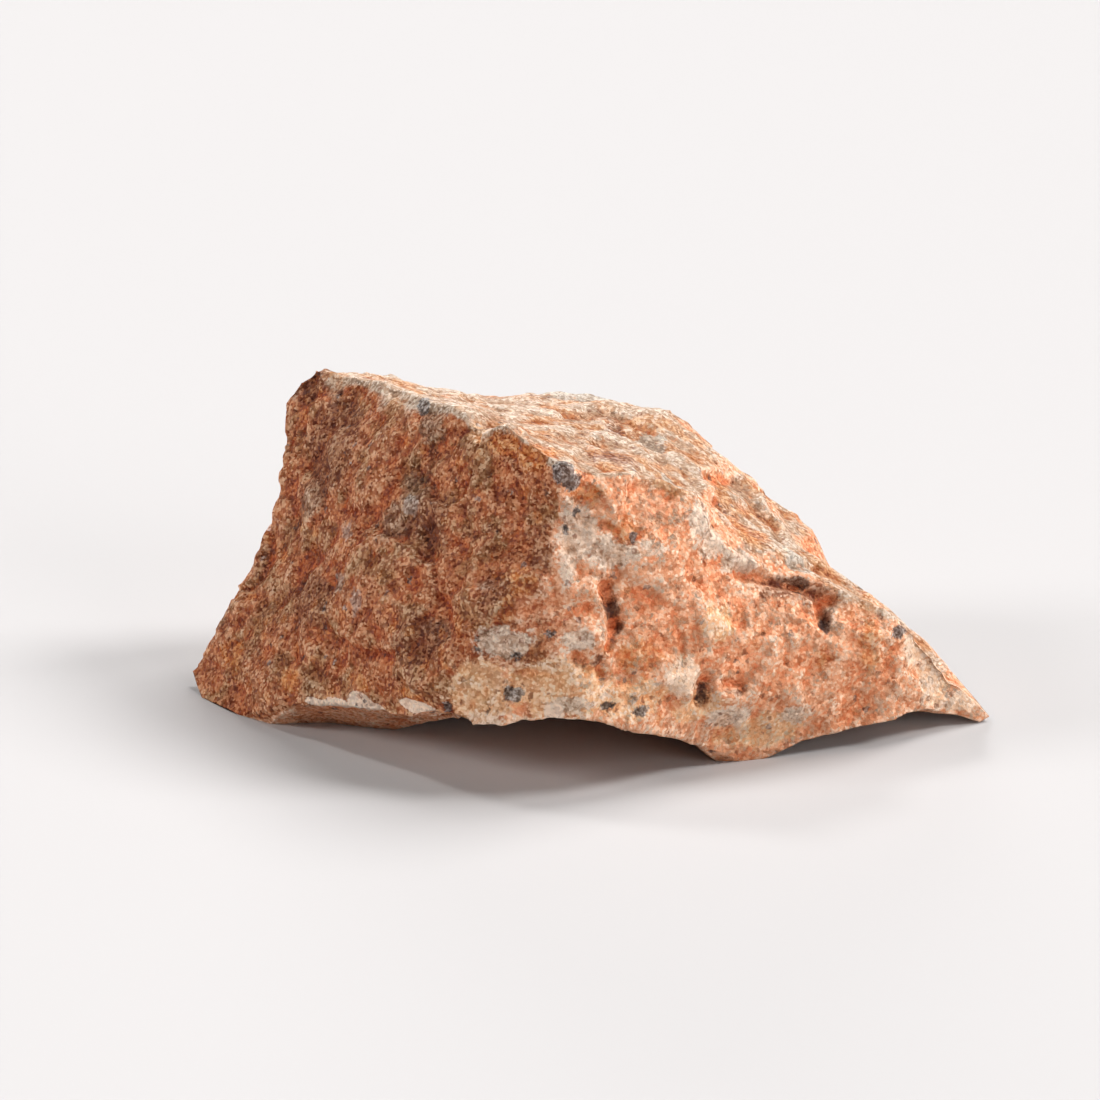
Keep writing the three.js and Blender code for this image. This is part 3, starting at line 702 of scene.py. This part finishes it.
# Each kind of patch: size of the waves in its rim, how far they push the rim, how wide it is, and its strength
RIMS = {
    "turned_back": (0.9, 0.1, 0.3, 1.0),
    "turned_left": (0.9, 0.1, 0.16, 1.0),
    "turned_up": (0.9, 0.05, 0.12, 1.0),
    "smoky": (0.45, 0.25, 0.35, 0.65),
    "cream": (0.45, 0.26, 0.2, 0.85),
    "pale": (0.4, 0.16, 0.2, 0.85),
    "grey": (0.4, 0.2, 0.14, 0.86),
    "brown": (0.45, 0.3, 0.4, 0.8),
    "rust": (0.3, 0.2, 0.2, 0.65),
    "blue": (0.25, 0.12, 0.12, 0.4),
    "chip": (0.25, 0.06, 0.06, 0.92),
    "pit": (0.25, 0.06, 0.12, 0.85),
    "dark": (0.22, 0.1, 0.07, 0.85),
}

# How far a face has to be turned that way to take its colour, from 0 for side on to 1 for all the way
TURNED_ENOUGH = {"turned_back": 0.1, "turned_left": 0.52, "turned_up": 0.72}


def patched(under, over, kind):
    """The colour under, covered by the colour over in every patch of that kind."""
    size, ragged, edge, strength = RIMS[kind]
    depth = maths(tree, "SUBTRACT", field(kind), TURNED_ENOUGH.get(kind, 0.0))
    return blend(under, over, patch(depth, size, ragged, edge), strength)


# The palest light that the rock gives back, and its own colours, from the salmon right face to the brown left
# face and the cream top; the pit brown is painted shade, and so is the dark brown on the shoulder groove and back
# scar
PALEST = (0.95, 0.69, 0.52)
SALMON = linear(240, 174, 134)
SALMON_DEEP = linear(234, 156, 112)
BROWN = linear(192, 114, 70)
BROWN_DARK = linear(148, 80, 46)
OLIVE = linear(164, 116, 76)
BACK_TAN = linear(176, 132, 98)
BACK_BROWN = linear(152, 98, 64)
TOP_TAN = linear(196, 164, 138)
TOP_ORANGE = linear(192, 134, 90)
TOP_GREY = linear(186, 170, 154)
GREY = linear(236, 210, 188)
GREY_DARK = linear(168, 138, 114)
SMOKY = linear(134, 104, 80)
CREAM = linear(250, 202, 158)
CREAM_TAN = linear(246, 192, 148)
PALE_CREAM = linear(252, 218, 188)
CHIP_WHITE = linear(250, 226, 208)
RUST = linear(216, 130, 64)
RUST_DEEP = linear(168, 90, 46)
NEARLY_BLACK = linear(72, 64, 62)
INK_BLUE = linear(138, 130, 126)
DARK_BROWN = linear(136, 78, 46)
# Painted shade for the floors of the sunk pits and cracks
PIT_SHADE_BROWN = linear(84, 48, 32)
BLUE_GREY = linear(168, 162, 154)

mottles = waves(1.3, detail=5.0)
streaks = waves(0.5, detail=5.0, roughness=0.75)
flecks = waves(0.2, detail=3.0, roughness=0.8)
salmon = blend(SALMON, SALMON_DEEP, between(mottles, 0.42, 0.66))
brown = blend(BROWN, OLIVE, between(mottles, 0.48, 0.6), 0.8)
brown = blend(brown, BROWN_DARK, between(streaks, 0.44, 0.66), 0.85)
top = blend(TOP_TAN, TOP_ORANGE, between(mottles, 0.46, 0.6))
back = blend(BACK_TAN, BACK_BROWN, between(mottles, 0.42, 0.6))
rock = patched(salmon, back, "turned_back")
rock = patched(rock, brown, "turned_left")
rock = patched(rock, top, "turned_up")
rock = patched(rock, SMOKY, "smoky")
cream = blend(CREAM, CREAM_TAN, between(streaks, 0.42, 0.58))
cream = blend(cream, RUST, between(flecks, 0.58, 0.72), 0.25)
rock = patched(rock, cream, "cream")
rock = patched(rock, PALE_CREAM, "pale")
grey = blend(GREY, GREY_DARK, between(streaks, 0.44, 0.66))
grey = blend(grey, TOP_GREY, between(field("turned_up"), 0.55, 0.75))
rock = patched(rock, grey, "grey")
rock = patched(rock, DARK_BROWN, "brown")
rust = blend(RUST, RUST_DEEP, between(streaks, 0.45, 0.65))
rock = patched(rock, rust, "rust")
rock = patched(rock, BLUE_GREY, "blue")
rock = patched(rock, CHIP_WHITE, "chip")
# Painted shade: dark brown on the floors of the sunk pits and cracks
rock = patched(rock, PIT_SHADE_BROWN, "pit")

# Scattered grains: pale, rusty and brown ones, a few larger grey ones, and small blue-black ones
rock = blend(rock, GREY_DARK, grains(0.8, 0.07, 0.4, (11, 0, 0))["Mask"], 0.1)
rock = blend(rock, RUST, grains(0.5, 0.16, 0.42, (0, 23, 0))["Mask"], 0.35)
rock = blend(rock, CREAM, grains(0.3, 0.12, 0.42, (0, 0, 31))["Mask"], 0.2)
rock = blend(rock, DARK_BROWN, grains(0.26, 0.2, 0.4, (7, 5, 0))["Mask"], 0.55)
black = blend(NEARLY_BLACK, INK_BLUE, between(flecks, 0.45, 0.6))
rock = blend(rock, black, grains(0.34, 0.05, 0.36, (0, 9, 3))["Mask"], 0.6)
rock = patched(rock, black, "dark")

# The size of the sugary crystals and of the lumps of them, and how far each of them and the waves raise the rock
CRYSTAL_SIZE, LUMP_SIZE = 0.085, 0.24
CRYSTAL_RELIEF, WAVE_RELIEF = 0.9, 0.09

# How much crystals and flecks each add to the paleness, the values that it runs between, and the power and the
# factor that the colour takes at both ends
PALENESS_SHARE = 0.6
DARKEST, LIGHTEST = 0.25, 0.95
POWERS = (1.35, 0.66)
FACTORS = (0.78, 1.12)

# How far below the eased surface, in millimetres, proud edges and hollows lie, and what each adds to the power:
# painted highlight on the proud edges, painted shade in the hollows
PROUD_EDGE, SUNK = -0.04, 0.07
HOLLOW_SHADE_POWERS = (-0.16, 0.5)

# Each crystal takes the colour to a power and times a factor of its own, so that the darker ones are also redder;
# and painted shade makes the hollows darker and redder, while painted highlight makes the proud edges lighter
crystals = node(tree, "ShaderNodeGroup", {"Place": place, "Size": CRYSTAL_SIZE}, node_tree=crystal_group).outputs
lumps = node(tree, "ShaderNodeGroup", {"Place": place, "Size": LUMP_SIZE}, node_tree=crystal_group).outputs
paleness = maths(tree, "MULTIPLY", maths(tree, "ADD", crystals["Chance"], flecks), PALENESS_SHARE)
power = between(paleness, DARKEST, LIGHTEST, *POWERS)
power = maths(tree, "ADD", power, between(field("hollow"), PROUD_EDGE, SUNK, *HOLLOW_SHADE_POWERS))
factor = between(paleness, DARKEST, LIGHTEST, *FACTORS)
rock = tinted(node(tree, "ShaderNodeGamma", {"Color": rock, "Gamma": power}).outputs["Color"], factor)
rock = node(tree, "ShaderNodeVectorMath", {0: rock, 1: PALEST}, operation="MINIMUM").outputs[0]

# Fine relief that the mesh is too coarse for, in millimetres
relief = maths(tree, "MULTIPLY", waves(0.5, detail=5.0, roughness=0.7), WAVE_RELIEF)
relief = maths(tree, "ADD", relief, maths(tree, "MULTIPLY", crystals["Height"], CRYSTAL_RELIEF))
relief = maths(tree, "ADD", relief, maths(tree, "MULTIPLY", lumps["Height"], CRYSTAL_RELIEF))
rough_surface = node(tree, "ShaderNodeBump", {"Height": relief, "Strength": 1.0, "Distance": MM})
shader = tree.nodes["Principled BSDF"]
tree.links.new(rock, shader.inputs["Base Color"])
tree.links.new(between(crystals["Draw"], 0.0, 1.0, 0.5, 0.95), shader.inputs["Roughness"])
tree.links.new(rough_surface.outputs["Normal"], shader.inputs["Normal"])
shader.inputs["Specular IOR Level"].default_value = 0.35

# The floor
# A plain pale card, far wider than the picture: matt, and very slightly warm.
# It lies at the height of the stone's worn feet.
FLOOR_REACH = 1.3
floor_mesh = bpy.data.meshes.new("floor")
floor_mesh.from_pydata([(-FLOOR_REACH, -FLOOR_REACH, 0), (FLOOR_REACH, -FLOOR_REACH, 0),
                        (FLOOR_REACH, FLOOR_REACH, 0), (-FLOOR_REACH, FLOOR_REACH, 0)], [], [(0, 1, 2, 3)])
floor = bpy.data.objects.new("floor", floor_mesh)
bpy.context.scene.collection.objects.link(floor)
card = bpy.data.materials.new("pale_card")
card.use_nodes = True
card.node_tree.nodes["Principled BSDF"].inputs["Base Color"].default_value = (0.525, 0.508, 0.505, 1)
card.node_tree.nodes["Principled BSDF"].inputs["Roughness"].default_value = 0.9
card.node_tree.nodes["Principled BSDF"].inputs["Specular IOR Level"].default_value = 0.2
floor_mesh.materials.append(card)

# The light
# Broad soft lights above and behind, one on each side, and low ones from the backdrop and from in front on the
# right. Hardly any light comes from straight in front. Angles are in degrees: around from +X, and up.
LIGHTS = {
    "top_light": {"around": 48, "up": 54, "width": 28, "strength": 2.5},
    "right_light": {"around": 2, "up": 42, "width": 18, "strength": 2.3},
    "left_light": {"around": 190, "up": 27, "width": 16, "strength": 1.5},
    "left_back_light": {"around": 143, "up": 47, "width": 8, "strength": 0.8},
    "backdrop_light": {"around": 100, "up": 11, "width": 24, "strength": 1.1},
    "right_card": {"around": 318, "up": 20, "width": 30, "strength": 0.95},
    "front_card": {"around": 262, "up": 18, "width": 24, "strength": 0.1},
}
ROOM_STRENGTH = 0.01
for name, light in LIGHTS.items():
    lamp = bpy.data.lights.new(name, "SUN")
    lamp.angle = math.radians(light["width"])
    lamp.energy = light["strength"]
    holder = bpy.data.objects.new(name, lamp)
    around, up = math.radians(light["around"]), math.radians(light["up"])
    towards = Vector((math.cos(around) * math.cos(up), math.sin(around) * math.cos(up), math.sin(up)))
    holder.rotation_euler = towards.to_track_quat("Z", "Y").to_euler()
    bpy.context.scene.collection.objects.link(holder)
room = bpy.data.worlds.new("pale_room")
room.use_nodes = True
room.node_tree.nodes["Background"].inputs["Color"].default_value = (1.0, 0.98, 0.97, 1)
room.node_tree.nodes["Background"].inputs["Strength"].default_value = ROOM_STRENGTH
bpy.context.scene.world = room
bpy.context.scene.view_settings.view_transform = "Standard"

# The camera
# It stands 220 mm in front of the stone and looks down on it at 20 degrees.
# The frame is 33 mm wide at the place that it aims at.
DISTANCE = 0.22
LOOK_DOWN = math.radians(20)
AIM = Vector((-0.0012, -0.00585, 0.007386))
eye = bpy.data.cameras.new("camera")
eye.sensor_width = 36
eye.lens = 240
camera = bpy.data.objects.new("camera", eye)
camera.location = AIM + DISTANCE * Vector((0, -math.cos(LOOK_DOWN), math.sin(LOOK_DOWN)))
camera.rotation_euler = (math.pi / 2 - LOOK_DOWN, 0, 0)
bpy.context.scene.collection.objects.link(camera)
bpy.context.scene.camera = camera
